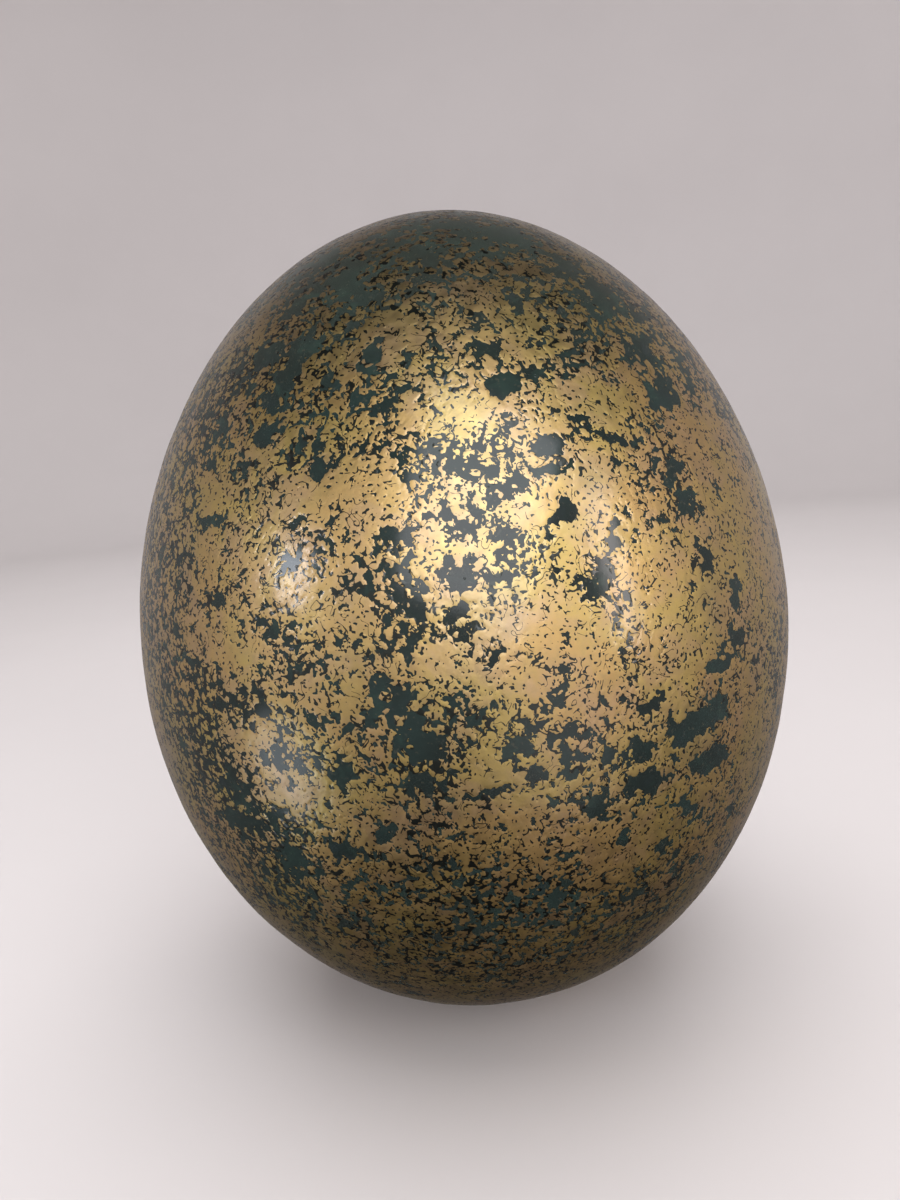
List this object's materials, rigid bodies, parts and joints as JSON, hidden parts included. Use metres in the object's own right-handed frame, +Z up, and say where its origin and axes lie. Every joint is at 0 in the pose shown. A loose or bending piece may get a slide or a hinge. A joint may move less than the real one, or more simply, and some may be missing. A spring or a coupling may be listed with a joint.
{
  "type": "gilded lacquered decorative egg on a ring",
  "caption": "Large upright blown egg with mottled gold leaf over dark green lacquer, plugged at the lower pole, lifting off a small turned ring.",
  "frame": {"origin": "centre of the ring's flat underside, which stands on the table, on the egg's long axis", "axes": "+Z up along the egg's long axis, towards the narrower end; -Y is the side that the main view shows, +X is to its right"},
  "size_m": [0.1234, 0.1234, 0.1532],
  "materials": {
    "ring_metal": "dark patinated, satin",
    "eggshell": "matte, pitted with pores",
    "green_lacquer": "glossy clear lacquer over dark teal green",
    "gold_leaf": "mottled gold leaf under glossy clear lacquer",
    "plug_cork": "matte cork"
  },
  "bodies": {
    "ring": {"ring_stand": "ring_metal"},
    "egg": {"eggshell": "eggshell", "lacquer_coat": "green_lacquer", "blow_hole_plug": "plug_cork"}
  },
  "joints": [
    {"name": "egg_lift", "type": "slide", "parent": "ring", "child": "egg", "axis": [0, 0, 1], "range_m": [0, 0.025]}
  ]
}
